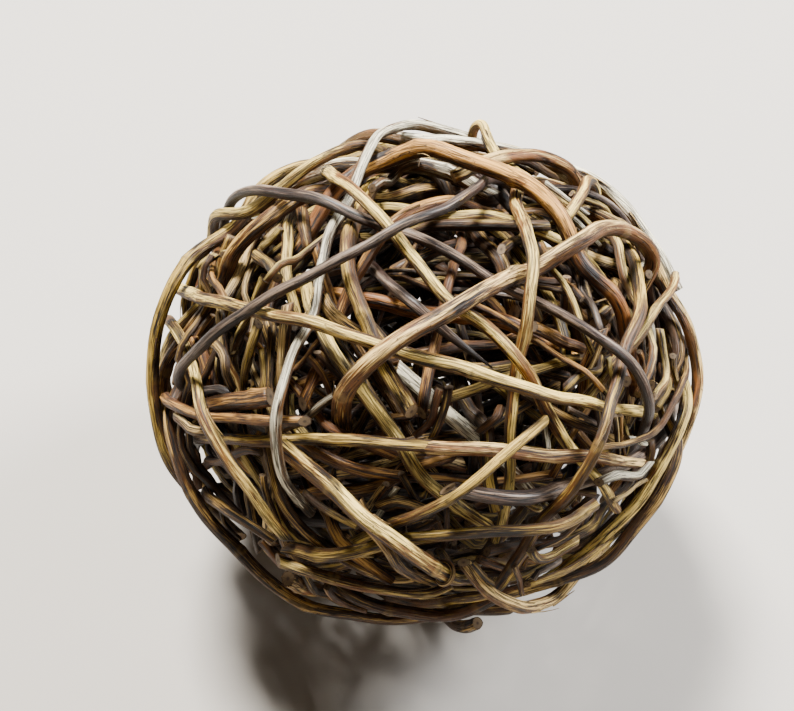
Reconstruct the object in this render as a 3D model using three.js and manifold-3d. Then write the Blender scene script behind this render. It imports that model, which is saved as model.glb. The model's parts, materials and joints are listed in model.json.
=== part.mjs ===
// A table ball wound from willow rods: hollow, about 150 mm across, and a little wider than it is high.
// Millimetres, +Z up. The origin is under the ball's middle, on the surface that it stands on.
// Each rod is laid out first, as a line on or under the ball's skin. All the lines then settle together,
// until no two rods share any room, and each one becomes a six-sided tube. The finer twigs come in bundles:
// the twigs of a bundle all cross one long twig, touch it there, and make one solid with it.
import * as THREE from "three";
import { mergeVertices } from "three/addons/utils/BufferGeometryUtils.js";
import Module from "manifold-3d";

// The ball
const WIDTH = 150; // along X
const DEPTH = 144; // along Y
const HEIGHT = 130; // along Z, before its own weight presses the underside flat
const PRESSED = 3; // height lost on the underside
const PROUD = 1.5; // how far a rod may stand out of the skin
const SINK = 0.05; // how much deeper a rod runs, in half widths, where it has gone round to the far side

// The rods
const SIDES = 6;
const STEP = 12.5; // one straight stretch of a rod
const LONG_STEP = 17; // and of one that goes far round the ball
const THIN_END = 0.84; // a rod's thickness at its far end, as a share of that at its near end
const ROOM = 0.45; // least gap between two rods
const FLATTENED = 0.8; // height of a rod's middle over the table, where it is pressed on it, in radii

// The finer twigs
const TWIG_SIDES = 4;
const TWIG_STEP = 16;
const TOUCHING = 0.64; // distance between the middles of two twigs that touch, as a share of both radii
const GIVE = 10; // how much more a twig moves out of a rod's way than the rod out of the twig's

// How the rods settle
const EASE_PASSES = 300;
const SETTLE_PASSES = 700;
const LAST_PASSES = 250; // the passes in which a rod is no longer drawn back to where it was laid out
const HOLD_PLACE = 0.15;
const HOLD_DEPTH = 0.03;
const STIFFNESS = 0.25;
const CROSSING = 0.4; // sine of the least angle at which two rods count as crossing
const SHARPEST = THREE.MathUtils.degToRad(32); // bend between two stretches, where none sharper was laid out

// The show side is laid out on a round dial, as an eye at this height and distance sees the ball.
const EYE_TILT = THREE.MathUtils.degToRad(50);
const EYE_REACH = 321;

const HALF = new THREE.Vector3(WIDTH / 2, DEPTH / 2, HEIGHT / 2);
const MIDDLE = new THREE.Vector3(0, 0, HEIGHT / 2 - PRESSED);
const TO_EYE = new THREE.Vector3(0, -Math.cos(EYE_TILT), Math.sin(EYE_TILT));
const EYE = TO_EYE.clone().multiplyScalar(EYE_REACH);
const RIGHT = new THREE.Vector3(1, 0, 0);
const UP = TO_EYE.clone().cross(RIGHT);
const DIAL = HALF.x / Math.sqrt(EYE_REACH ** 2 - HALF.x ** 2) / 100; // slope of one dial unit

const BARK = {
  straw: "#b39a55",
  olive: "#80703a",
  tan: "#a98a62",
  brown: "#6d5130",
  russet: "#91552a",
  plum: "#58434a",
  grey: "#8f8877",
};

// ---- Laying out -------------------------------------------------------------------------------

// The ball's half axes, taken in by a depth.
function skin(depth) {
  return HALF.clone().subScalar(depth);
}

// How far out a point lies, in skins of the whole ball: 1 is on the skin.
function reach(point) {
  return point.clone().sub(MIDDLE).divide(HALF).length();
}

// The point at u, v on the dial (right and up, in hundredths of the ball's half width), so deep in the ball.
function onDial(u, v, depth) {
  const half = skin(depth);
  const sight = TO_EYE.clone().negate().addScaledVector(RIGHT, u * DIAL).addScaledVector(UP, v * DIAL);
  const from = EYE.clone().divide(half);
  const along = sight.divide(half);
  const a = along.lengthSq();
  const b = from.dot(along);
  const inside = b * b - a * (from.lengthSq() - 1);
  const near = from.addScaledVector(along, (-b - Math.sqrt(Math.max(inside, 0))) / a);
  return near.normalize().multiply(half).add(MIDDLE);
}

// Points that carry a line on round the ball, past its last point, over an angle in degrees.
function carriedOn(line, degrees) {
  const [before, last] = [line[0], line.at(-1)].map((p) => p.clone().sub(MIDDLE).divide(HALF));
  const axis = before.clone().cross(last).normalize();
  const count = Math.ceil(degrees / 5);
  return Array.from({ length: count }, (_, k) => {
    const turn = THREE.MathUtils.degToRad((degrees * (k + 1)) / count);
    const sunk = 1 - (SINK * (k + 1)) / count;
    return last.clone().applyAxisAngle(axis, turn).multiplyScalar(sunk).multiply(HALF).add(MIDDLE);
  });
}

// The same line as points at even distances.
function evenly(line, step) {
  const path = new THREE.CurvePath();
  line.slice(1).forEach((p, k) => path.add(new THREE.LineCurve3(line[k], p)));
  return path.getSpacedPoints(Math.max(3, Math.round(path.getLength() / step)));
}

function lengthOf(line) {
  return line.slice(1).reduce((sum, p, k) => sum + p.distanceTo(line[k]), 0);
}

// How far point k of a line lies off the middle of its two neighbours.
function bendAt(line, k) {
  return line[k - 1].clone().add(line[k + 1]).multiplyScalar(0.5).sub(line[k]);
}

// Evens out how a line's bends change along it. What the eye sees of it stays in its place on the dial.
function ease(line, shown) {
  const laid = line.map((p) => p.clone());
  for (let pass = 0; pass < EASE_PASSES; pass++) {
    for (let k = 1; k < line.length - 1; k++) {
      const before = bendAt(line, Math.max(k - 1, 1));
      const after = bendAt(line, Math.min(k + 1, line.length - 2));
      const move = bendAt(line, k).sub(before.add(after).multiplyScalar(0.5)).multiplyScalar(0.3);
      const sight = line[k].clone().sub(MIDDLE).sub(EYE).normalize();
      line[k].add(shown[k] ? sight.multiplyScalar(move.dot(sight)) : move);
      const outward = line[k].clone().sub(MIDDLE).divide(HALF).normalize();
      line[k].addScaledVector(outward, 0.1 * laid[k].clone().sub(line[k]).dot(outward));
    }
  }
}

const rods = [];

// Head and tail are the lengths at a rod's two ends that lie out of the eye's sight. A twig of a bundle is
// strung on another, and has few sides.
function addRod(name, thickness, bark, line, kind) {
  const { step = STEP, head = 0, tail = 0, sides = SIDES, strungOn } = kind;
  const inSight = (points) => {
    const gap = points[0].distanceTo(points[1]);
    return points.map((_, k) => k * gap >= head && (points.length - 1 - k) * gap >= tail);
  };
  const fine = evenly(line, step / 2);
  ease(fine, inSight(fine));
  const home = evenly(fine, step);
  const at = home.map((p) => p.clone());
  const stretch = home[0].distanceTo(home[1]);
  const rod = { name, radius: thickness / 2, bark, home, at, shown: inSight(home), stretch, sides, strungOn };
  rods.push(rod);
  return rod;
}

// A rod of the show side. Its stops are [u, v, depth] on the dial, and before and after are the angles,
// in degrees, over which it runs on round the ball at its two ends.
function faceRod(name, thickness, bark, before, after, stops, step) {
  const curve = new THREE.CatmullRomCurve3(stops.map((s) => new THREE.Vector3(...s)));
  const seen = curve.getPoints(8 * (stops.length - 1)).map((s) => onDial(s.x, s.y, s.z + thickness / 2));
  const head = carriedOn(seen.slice(0, 4).reverse(), before).reverse();
  const tail = carriedOn(seen.slice(-4), after);
  addRod(name, thickness, bark, [...head, ...seen, ...tail], {
    step,
    head: lengthOf([...head, seen[0]]) + 1,
    tail: lengthOf([seen.at(-1), ...tail]) + 1,
  });
}

// A rod that runs in an arc round the ball. The arc's middle lies in direction facing, it heads along
// heading there, and it leans to one side by lean, from 0 for the ball's widest ring to 1. It may slide along
// itself by a share of its length, and dive deeper towards its far end.
function arcRod(name, thickness, bark, arc, kind = {}) {
  const { facing, heading, lean = 0, sweep, depth, waves = 0, slide = 0, dive = 0 } = arc;
  const out = facing.clone().normalize();
  const axis = out.clone().cross(heading).normalize();
  const low = out.clone().addScaledVector(axis, lean).normalize();
  const count = Math.ceil(sweep / 5);
  const line = Array.from({ length: count + 1 }, (_, k) => {
    const share = k / count - 0.5 + slide;
    const spoke = low.clone().applyAxisAngle(axis, THREE.MathUtils.degToRad(sweep * share));
    const wave = 1 - Math.cos(2 * Math.PI * waves * share + lean * 9);
    return spoke.multiply(skin(depth + thickness / 2 + wave + dive * share)).add(MIDDLE);
  });
  return addRod(name, thickness, bark, line, { step: LONG_STEP, head: Infinity, ...kind });
}

// ---- Settling ---------------------------------------------------------------------------------

// The nearest points of the stretches p0-p1 and q0-q1, as shares along them, and the way between them.
function nearest(p0, p1, q0, q1) {
  const d1 = p1.clone().sub(p0);
  const d2 = q1.clone().sub(q0);
  const r = p0.clone().sub(q0);
  const a = d1.lengthSq();
  const e = d2.lengthSq();
  const b = d1.dot(d2);
  const c = d1.dot(r);
  const f = d2.dot(r);
  const spread = a * e - b * b;
  const clamp = (x) => Math.min(1, Math.max(0, x));
  let s = spread > 1e-9 ? clamp((b * f - c * e) / spread) : 0.5;
  const t = clamp((b * s + f) / e);
  s = clamp((b * t - c) / a);
  const way = q0.clone().addScaledVector(d2, t).sub(p0).addScaledVector(d1, -s);
  return { s, t, way };
}

// Pushes two stretches apart where they are closer than their rods' sides allow.
// Where they cross, the one that was laid out further from the ball's middle stays the outer one.
function partThem(a, i, b, j) {
  const { s, t, way } = nearest(a.at[i], a.at[i + 1], b.at[j], b.at[j + 1]);
  const apart = way.length();
  const strung = a.strungOn === b || b.strungOn === a;
  const least = strung ? TOUCHING * (a.radius + b.radius) : a.radius + b.radius + ROOM;
  if (apart >= least) return;
  const across = a.at[i + 1].clone().sub(a.at[i]).normalize();
  across.cross(b.at[j + 1].clone().sub(b.at[j]).normalize());
  let push = way.clone().divideScalar(apart);
  let short = least - apart;
  if (across.length() > CROSSING) {
    const placeA = a.home[i].clone().lerp(a.home[i + 1], s);
    const placeB = b.home[j].clone().lerp(b.home[j + 1], t);
    const outward = placeA.clone().add(placeB).multiplyScalar(0.5).sub(MIDDLE).divide(HALF).normalize();
    const rise = (reach(placeB) - reach(placeA)) * across.dot(outward);
    push = across.normalize();
    if (Math.abs(rise) < 0.002 ? way.dot(push) < 0 : rise < 0) push.negate();
    const high = way.dot(push);
    short = Math.sqrt(least * least - apart * apart + high * high) - high;
  }
  move(a, i, s, b, j, t, push, short);
}

// Moves two stretches apart by so much, or together by less than nothing. A twig gives way more than a rod.
function move(a, i, s, b, j, t, push, much) {
  const giveA = a.sides === TWIG_SIDES ? GIVE : 1;
  const giveB = b.sides === TWIG_SIDES ? GIVE : 1;
  const shareA = (-much * giveA) / (giveA + giveB);
  const shareB = (much * giveB) / (giveA + giveB);
  a.at[i].addScaledVector(push, shareA * (1 - s));
  a.at[i + 1].addScaledVector(push, shareA * s);
  b.at[j].addScaledVector(push, shareB * (1 - t));
  b.at[j + 1].addScaledVector(push, shareB * t);
}

// Draws a twig and the one that it is strung on together, until they touch.
function drawTogether(twig) {
  const trunk = twig.strungOn;
  let best = { apart: Infinity };
  for (let i = 0; i < twig.at.length - 1; i++) {
    for (let j = 0; j < trunk.at.length - 1; j++) {
      const { s, t, way } = nearest(twig.at[i], twig.at[i + 1], trunk.at[j], trunk.at[j + 1]);
      const apart = way.length();
      if (apart < best.apart) best = { i, s, j, t, way, apart };
    }
  }
  const excess = best.apart - TOUCHING * (twig.radius + trunk.radius);
  if (excess <= 0) return;
  move(twig, best.i, best.s, trunk, best.j, best.t, best.way.divideScalar(best.apart), -excess);
}

// Draws a rod back: to its place on the dial, or on the ball, and more loosely to its depth.
function holdBack({ at, home, shown }) {
  at.forEach((p, k) => {
    const back = home[k].clone().sub(p);
    const outward = p.clone().sub(MIDDLE).divide(HALF).normalize();
    const eye = shown[k] ? p.clone().sub(MIDDLE).sub(EYE).normalize() : outward.clone();
    p.addScaledVector(outward, HOLD_DEPTH * back.dot(outward));
    p.addScaledVector(back.addScaledVector(eye, -back.dot(eye)), HOLD_PLACE);
  });
}

// Draws each point of a rod towards where its neighbours want it, so that it keeps its bends but no others.
function straighten({ at, home }) {
  for (let k = 1; k < at.length - 1; k++) {
    at[k].addScaledVector(bendAt(at, k).sub(bendAt(home, k)), STIFFNESS);
  }
}

// Opens a bend that is too sharp for a rod of willow.
function openBends({ at, home, stretch }) {
  for (let k = 1; k < at.length - 1; k++) {
    const most = Math.max(stretch * Math.sin(SHARPEST / 2), bendAt(home, k).length());
    const bend = bendAt(at, k);
    if (bend.length() <= most) continue;
    bend.multiplyScalar(0.5 * (1 - most / bend.length()));
    at[k].add(bend);
    at[k - 1].addScaledVector(bend, -0.5);
    at[k + 1].addScaledVector(bend, -0.5);
  }
}

function keepLength({ at, stretch }) {
  for (let k = 0; k < at.length - 1; k++) {
    const way = at[k + 1].clone().sub(at[k]);
    way.multiplyScalar((1 - stretch / way.length()) / 2);
    at[k].add(way);
    at[k + 1].sub(way);
  }
}

// A rod's radius at its point k: it is thinner towards its far end.
function radiusAt({ at, radius }, k) {
  return radius * (1 - ((1 - THIN_END) * k) / (at.length - 1));
}

// Keeps a rod within the ball's skin and on top of the table.
function keepIn(rod) {
  const half = skin(rod.radius - PROUD);
  rod.at.forEach((p, k) => {
    const out = p.clone().sub(MIDDLE).divide(half).length();
    if (out > 1) p.sub(MIDDLE).divideScalar(out).add(MIDDLE);
    p.z = Math.max(p.z, FLATTENED * radiusAt(rod, k));
  });
}

// Presses a rod down on the table wherever it has come to lie on it.
function press(rod) {
  rod.at.forEach((p, k) => {
    const radius = radiusAt(rod, k);
    if (p.z < 1.2 * radius) p.z = FLATTENED * radius;
  });
}

function settle() {
  const stretches = rods.flatMap((rod) => rod.at.slice(1).map((_, i) => ({ rod, i })));
  const strung = rods.filter((rod) => rod.strungOn);
  for (let pass = 0; pass < SETTLE_PASSES; pass++) {
    for (const rod of rods) {
      if (pass < SETTLE_PASSES - LAST_PASSES) {
        holdBack(rod);
        straighten(rod);
      }
      openBends(rod);
      keepLength(rod);
      keepIn(rod);
    }
    strung.forEach(drawTogether);
    for (let m = 0; m < stretches.length; m++) {
      const { rod: a, i } = stretches[m];
      for (let n = m + 1; n < stretches.length; n++) {
        const { rod: b, i: j } = stretches[n];
        if (a === b) continue;
        const far = (a.stretch + b.stretch) / 2 + a.radius + b.radius + ROOM;
        if (Math.abs(a.at[i].x + a.at[i + 1].x - b.at[j].x - b.at[j + 1].x) > 2 * far) continue;
        if (Math.abs(a.at[i].y + a.at[i + 1].y - b.at[j].y - b.at[j + 1].y) > 2 * far) continue;
        if (Math.abs(a.at[i].z + a.at[i + 1].z - b.at[j].z - b.at[j + 1].z) > 2 * far) continue;
        partThem(a, i, b, j);
      }
    }
  }
}

// ---- Solids -----------------------------------------------------------------------------------

// A rod's tube: thinner towards its far end, and flat underneath where it is pressed on the table.
// One of its sides faces down where it lies lowest.
function tube(rod) {
  const { radius, at, sides } = rod;
  const steps = at.length - 1;
  const path = new THREE.CatmullRomCurve3(at);
  const stations = path.getSpacedPoints(steps);
  const frames = path.computeFrenetFrames(steps, false);
  const lowest = stations.reduce((low, s, k) => (s.z < stations[low].z ? k : low), 0);
  const down = Math.atan2(-frames.binormals[lowest].z, -frames.normals[lowest].z);
  const outline = Array.from({ length: sides }, (_, k) => {
    const turn = down + (2 * Math.PI * (k + 0.5)) / sides;
    return new THREE.Vector2(radius * Math.cos(turn), radius * Math.sin(turn));
  });
  const made = new THREE.ExtrudeGeometry(new THREE.Shape(outline), { steps, extrudePath: path });
  const places = made.getAttribute("position");
  const p = new THREE.Vector3();
  for (let k = 0; k < places.count; k++) {
    p.fromBufferAttribute(places, k);
    const gaps = stations.map((s) => s.distanceToSquared(p));
    const station = gaps.indexOf(Math.min(...gaps));
    p.sub(stations[station]).multiplyScalar(radiusAt(rod, station) / radius).add(stations[station]);
    places.setXYZ(k, p.x, p.y, Math.max(p.z, 0));
  }
  return made;
}

const wasm = await Module();
wasm.setup();

// A bundle's tubes as one solid, joined where its twigs touch the one that they are strung on.
function joined(tubes) {
  const solids = tubes.map((made) => {
    made.deleteAttribute("normal");
    made.deleteAttribute("uv");
    const { attributes, index } = mergeVertices(made, 1e-4);
    const mesh = { numProp: 3, vertProperties: attributes.position.array, triVerts: index.array };
    return new wasm.Manifold(new wasm.Mesh(mesh));
  });
  const { vertProperties, triVerts } = solids.reduce((whole, solid) => whole.add(solid)).getMesh();
  const made = new THREE.BufferGeometry();
  made.setAttribute("position", new THREE.BufferAttribute(vertProperties, 3));
  made.setIndex(new THREE.BufferAttribute(triVerts, 1));
  return made;
}

// ---- The rods of the show side, from the outside in ------------------------------------------

faceRod("long_straw_rod", 3.4, "straw", 0, 0, [
  [-88, 27, 3], [-45, 16, 3], [13, 2, 2.5], [64, -10, 3], [89, -14, 7],
]);
faceRod("plum_face_rod", 2.8, "plum", 10, 35, [
  [-88, -10, 6], [-86, 0, 2], [-48, 31, 1], [6, 58, 1.5], [31, 69, 5], [50, 72, 4], [68, 69, 3],
  [82, 57, 2], [90, 39, 4],
]);
faceRod("stout_tan_rod", 4.5, "tan", 0, 25, [
  [-28, -21, 14], [-28, -6, 4], [-11, 8, 0.5], [12, 23, 0.3], [37, 38, 3.5], [61, 49, 0.5],
  [79, 51, 0.5], [87, 45, 2],
  [90, 37, 6],
], 12);
faceRod("dark_long_rod", 3.0, "plum", 60, 0, [
  [-73, 54, 2], [-63, 61, 0.5], [-47, 62, 0.5], [-28, 56, 4], [-1, 48, 5], [30, 34, 5.5], [55, 19, 3],
  [72, 6, 1],
  [80, -4, 0.5], [81, -13, 2], [77, -21, 8],
]);
faceRod("russet_arch_rod", 4.6, "russet", 30, 12, [
  [-24, 68, 7], [-11, 79, 3], [6, 80, 1], [28, 71, 0.5], [50, 55, 0.5], [61, 43, 4.5], [68, 28, 4],
  [76, 9, 6],
]);
faceRod("crown_hook_rod", 3.3, "straw", 0, 12, [
  [21, 93, -1.5], [24, 83, 0.5], [29, 73, 4.5], [34, 59, 4], [36, 47, 2.5], [37, 37, 0.5], [35, 15, 3],
  [34, -7, 5.5],
  [32, -52, 7],
]);
faceRod("split_tip_rod", 3.3, "straw", 0, 0, [
  [-38, 75, 1], [-26, 63, 1], [-8, 46, 4], [13, 24, 5], [30, 8, 3], [43, -7, 5.5], [58, -29, 5],
  [70, -47, 4],
]);
faceRod("left_brace_rod", 3.3, "straw", 0, 0, [
  [-95, 18, 1], [-91, 9, 2], [-86, -3, 5], [-78, -19, 2], [-64, -41, 1], [-47, -63, 2],
]);
faceRod("grey_drop_rod", 3.0, "grey", 25, 0, [
  [1, 87, 3], [-17, 86, 0], [-25, 67, 3], [-37, 39, 4], [-43, 17, 5.5], [-46, -1, 1.5], [-50, -14, 1],
  [-51, -26, 1],
  [-48, -40, 3], [-43, -59, 8],
]);
faceRod("right_sweep_rod", 3.3, "olive", 25, 25, [
  [63, 66, 5], [74, 50, 4.5], [78, 35, 2], [78, 19, 2.5], [73, 2, 4], [66, -12, 0.8], [59, -28, 0.8],
  [48, -49, 2.5],
  [39, -62, 5], [29, -78, 3], [17, -84, 3],
]);
faceRod("low_cross_rod", 3.3, "olive", 0, 0, [
  [-47, -64, 4], [-26, -64, 4], [-1, -61, 4], [21, -57, 3], [42, -54, 1.5], [56, -47, 2], [63, -44, 3],
]);
faceRod("stout_straw_rod", 4.3, "straw", 0, 0, [
  [-50, -29, 5], [-38, -40, 3], [-23, -50, 2], [-5, -62, 1.5], [12, -72, 2], [25, -77, 4],
]);
faceRod("level_rod_left", 3.2, "olive", 12, 0, [
  [-81, -26, 6], [-59, -26, 6], [-30, -25, 5], [-5, -26, 5], [16, -28, 6],
]);
faceRod("level_rod_right", 3.3, "tan", 0, 0, [[3, -27, 3.5], [28, -28, 4], [53, -30, 3.5], [80, -31, 3]]);
faceRod("russet_low_rod", 2.8, "russet", 0, 0, [
  [-49, -29, 9], [-28, -34, 8], [-5, -39, 8], [24, -41, 8], [50, -38, 9],
]);
faceRod("rising_olive_rod", 2.9, "olive", 15, 0, [
  [-10, -57, 6], [6, -46, 3], [21, -36, 2], [35, -24, 1.5], [45, -16, 3],
]);
faceRod("falling_straw_rod", 3.5, "straw", 10, 0, [
  [-43, 23, 8], [-36, 11, 8], [-26, -6, 8], [-12, -23, 8], [1, -37, 6], [10, -45, 6], [26, -55, 7],
]);
faceRod("inner_grey_rod", 3.8, "grey", 0, 0, [
  [-9, 1, 13], [6, -11, 12], [22, -26, 11], [38, -40, 10], [50, -54, 12],
]);
faceRod("left_stout_rod", 4.3, "brown", 25, 30, [
  [-45, 61, 5], [-58, 49, 4], [-72, 37, 3.5], [-83, 24, 5], [-93, 9, 3], [-98, -5, 2],
]);
faceRod("left_rim_rod", 3.7, "olive", 35, 50, [
  [-64, 61, 4], [-75, 50, 1], [-87, 37, 0], [-95, 29, 0], [-99, 18, 0], [-98, 4, 0],
]);
faceRod("left_second_rod", 2.9, "olive", 15, 20, [
  [-73, 45, 8], [-82, 35, 4], [-90, 30, 2], [-94, 24, 2], [-96, 16, 5],
]);
faceRod("crown_left_rod", 3.4, "straw", 45, 25, [
  [-73, 55, 1], [-58, 65, 0], [-42, 71, 0], [-28, 77, 0], [-14, 82, 2],
]);
faceRod("crown_arch_rod", 3.9, "grey", 40, 40, [
  [-18, 80, 4], [-1, 85, 1], [21, 88, 0], [35, 83, 0], [50, 76, 1],
]);
faceRod("crown_thin_rod", 2.4, "straw", 10, 40, [
  [-1, 81, 6], [17, 83, 3], [35, 83, 1], [45, 80, 0], [52, 74, 2],
]);
faceRod("right_rim_rod", 3.7, "tan", 40, 25, [
  [79, 59, 4], [90, 39, 1], [97, 20, 0], [99, 2, 0], [97, -14, 1],
]);
faceRod("right_long_rod", 3.6, "straw", 25, 45, [
  [89, 31, 5], [94, 17, 2], [95, 0, 1], [92, -18, 0.5], [84, -36, 1], [73, -53, 2], [59, -67, 3],
  [41, -79, 3],
]);
faceRod("low_rim_rod", 3.6, "brown", 45, 40, [
  [99, -9, 2], [90, -30, 0], [79, -50, 0], [64, -68, 0], [50, -79, 0], [28, -85, 1],
]);
faceRod("low_left_rim_rod", 3.6, "brown", 50, 40, [
  [-93, -11, 4], [-89, -29, 1], [-81, -49, 0], [-69, -64, 0], [-54, -77, 0], [-34, -86, 0],
]);
faceRod("low_straw_rod", 3.0, "straw", 0, 15, [
  [-49, -67, 2], [-40, -74, 1], [-26, -76, 1], [-5, -79, 2], [14, -82, 4],
]);
faceRod("low_knee_rod", 3.2, "tan", 10, 30, [
  [27, -79, 1], [35, -81, 0], [44, -82, 0], [50, -78, 1], [61, -68, 3],
], 10);
faceRod("hook_stub_rod", 3.3, "straw", 0, 10, [
  [50, 56, 5], [54, 63, 1.5], [60, 68, -0.5], [63, 68, 1], [64, 62, 7],
], 6);
faceRod("right_poke_rod", 2.7, "straw", 25, 0, [[77, 19, 5], [86, 29, 0], [93, 36, -2]]);
faceRod("inner_amber_rod", 4.0, "russet", 0, 0, [
  [-45, 29, 15], [-19, 25, 14], [10, 21, 14], [39, 16, 13], [58, 9, 13],
]);
faceRod("inner_plum_rod", 3.2, "plum", 0, 0, [[-22, 41, 12], [-8, 28, 10], [6, 15, 9], [25, 2, 10]]);
faceRod("high_cross_rod", 3.5, "straw", 15, 15, [[-38, 63, 9], [-8, 62, 9], [21, 57, 9], [51, 47, 9]]);
faceRod("inner_level_rod", 4.8, "brown", 20, 20, [[-19, 67, 12], [1, 68, 12], [22, 66, 13]]);
faceRod("inner_upright_rod", 4.4, "brown", 15, 10, [[14, 75, 9], [21, 60, 10], [31, 37, 12]]);
faceRod("left_upright_rod", 3.1, "straw", 15, 10, [[-49, 57, 8], [-49, 46, 7], [-47, 32, 8]]);

// ---- The rods that it stands on: three that cross in a triangle round the middle of the underside ----

const FOOT_COUNT = 3;
const FOOT_OFFSET = 15; // from the ball's middle line to each of them

for (let k = 0; k < FOOT_COUNT; k++) {
  const turn = (2 * Math.PI * k) / FOOT_COUNT + 0.4;
  const side = new THREE.Vector3(Math.cos(turn), Math.sin(turn), 0);
  arcRod(`foot_rod_${k + 1}`, 3.8, ["brown", "tan", "olive"][k], {
    facing: new THREE.Vector3(0, 0, -1),
    heading: side.clone().cross(new THREE.Vector3(0, 0, 1)),
    lean: FOOT_OFFSET / HALF.x,
    sweep: 150 + 20 * k,
    depth: 0,
  }, { step: STEP });
}

// ---- The rods of the far side, spread evenly over it and turned by the golden angle -----------

const BACK_COUNT = 16;
const GOLDEN = Math.PI * (3 - Math.sqrt(5));
const BACK_BARK = ["olive", "straw", "brown", "tan", "plum", "russet", "grey"];

for (let k = 0; k < BACK_COUNT; k++) {
  const off = 1 - (1.25 * (k + 0.5)) / BACK_COUNT; // from straight away from the eye round to its sides
  const turn = GOLDEN * k;
  const wide = Math.sqrt(1 - off * off);
  const facing = TO_EYE.clone().multiplyScalar(-off);
  facing.addScaledVector(RIGHT, wide * Math.cos(turn)).addScaledVector(UP, wide * Math.sin(turn));
  const level = new THREE.Vector3(0, 0, 1).cross(facing).normalize();
  const name = `back_rod_${String(k + 1).padStart(2, "0")}`;
  arcRod(name, 3 + 0.35 * (k % 5), BACK_BARK[(3 * k) % BACK_BARK.length], {
    facing,
    heading: level.applyAxisAngle(facing.clone().normalize(), GOLDEN * 1.7 * k),
    lean: 0.55 * Math.sin(2.4 * k),
    sweep: 140 + 15 * (k % 6),
    depth: 2.5 + 1.5 * (k % 4),
    waves: 2,
  });
}

// ---- The finer twigs, in three bundles that run round the ball in different planes --------------

const BUNDLES = [
  { name: "brown_twigs", bark: "brown", facing: [0.1, -0.8, 0.6], heading: [1, 0.3, 0.2] },
  { name: "olive_twigs", bark: "olive", facing: [0.5, -0.3, 0.8], heading: [-0.2, 1, 0.5] },
  { name: "russet_twigs", bark: "russet", facing: [-0.7, -0.4, 0.3], heading: [0.3, -0.4, 1] },
];
const TRUNK = { thickness: 3.2, depth: 13, sweep: 250 };
const TWIG_COUNT = 14;
const TWIG_THICKNESS = 2.8;
const TWIG_SPACE = ((TRUNK.thickness + TWIG_THICKNESS) / 2) * TOUCHING; // from a trunk's middle to a twig's

for (const { name, bark, facing, heading } of BUNDLES) {
  const out = new THREE.Vector3(...facing).normalize();
  const axis = out.clone().cross(new THREE.Vector3(...heading)).normalize();
  const kind = { step: TWIG_STEP, sides: TWIG_SIDES };
  const { thickness, depth, sweep } = TRUNK;
  const ahead = axis.clone().cross(out);
  const trunk = arcRod(name, thickness, bark, { facing: out, heading: ahead, sweep, depth, waves: 1 }, kind);
  for (let k = 0; k < TWIG_COUNT; k++) {
    const along = sweep * ((k + 0.5) / TWIG_COUNT - 0.5);
    const place = out.clone().applyAxisAngle(axis, THREE.MathUtils.degToRad(along));
    const turn = Math.PI * (0.25 + 0.5 * ((k * 0.618) % 1)); // from 45 to 135 degrees across the trunk
    const side = k % 2 ? 1 : -1;
    arcRod(name, TWIG_THICKNESS, bark, {
      facing: place,
      heading: axis.clone().cross(place).applyAxisAngle(place, turn),
      sweep: 46 + 9 * (k % 4),
      depth: depth + (thickness - TWIG_THICKNESS) / 2 + side * TWIG_SPACE,
      slide: 0.22 * Math.sin(2.1 * k),
      dive: 5 * Math.cos(1.7 * k),
    }, { ...kind, strungOn: trunk });
  }
}

settle();
rods.forEach(press);

// ---- The finished ball, moved so that its middle stands over the origin ------------------------

const ball = new THREE.Group();
for (const [name, members] of Map.groupBy(rods, (rod) => rod.name)) {
  const color = BARK[members[0].bark];
  const material = new THREE.MeshStandardMaterial({ color, roughness: 0.6, metalness: 0 });
  const mesh = new THREE.Mesh(members.length > 1 ? joined(members.map(tube)) : tube(members[0]), material);
  mesh.name = name;
  ball.add(mesh);
}
const middle = new THREE.Box3().setFromObject(ball).getCenter(new THREE.Vector3());
for (const mesh of ball.children) mesh.geometry.translate(-middle.x, -middle.y, 0);

export default ball;
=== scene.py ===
"""The looks of a hollow ball wound from willow and vine rods with their bark on.

The main rods follow the solids that carry them. The fine twigs that fill the weave between and behind
them are laid out here, settled against the main rods, and grown in the same way.
"""

import json
import math
import random
from functools import partial

import bmesh
import bpy
import numpy as np
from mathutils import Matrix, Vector
from mathutils.bvhtree import BVHTree
from mathutils.kdtree import KDTree


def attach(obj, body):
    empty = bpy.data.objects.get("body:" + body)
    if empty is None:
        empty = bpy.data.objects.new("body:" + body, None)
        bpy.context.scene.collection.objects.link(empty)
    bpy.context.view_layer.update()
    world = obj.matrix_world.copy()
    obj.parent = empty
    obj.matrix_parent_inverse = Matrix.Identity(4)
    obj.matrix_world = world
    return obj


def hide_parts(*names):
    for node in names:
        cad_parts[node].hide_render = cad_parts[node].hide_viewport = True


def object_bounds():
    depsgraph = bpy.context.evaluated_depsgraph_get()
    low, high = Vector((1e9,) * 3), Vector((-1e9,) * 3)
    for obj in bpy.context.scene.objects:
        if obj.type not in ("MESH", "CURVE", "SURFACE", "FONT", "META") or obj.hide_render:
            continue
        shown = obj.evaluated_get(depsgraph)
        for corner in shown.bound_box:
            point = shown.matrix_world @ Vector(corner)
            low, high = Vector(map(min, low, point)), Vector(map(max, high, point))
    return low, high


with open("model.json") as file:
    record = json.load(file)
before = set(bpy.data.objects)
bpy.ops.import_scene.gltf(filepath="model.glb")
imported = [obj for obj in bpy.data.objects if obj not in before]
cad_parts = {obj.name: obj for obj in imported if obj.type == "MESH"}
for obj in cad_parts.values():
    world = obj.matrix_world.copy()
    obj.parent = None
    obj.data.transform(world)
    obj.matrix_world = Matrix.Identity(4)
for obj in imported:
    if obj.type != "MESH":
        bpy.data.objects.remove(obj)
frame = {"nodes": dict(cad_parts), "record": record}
CAD_BOX = [list(corner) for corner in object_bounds()]

# ---- The ball, in metres ----------------------------------------------------------------------

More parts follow.
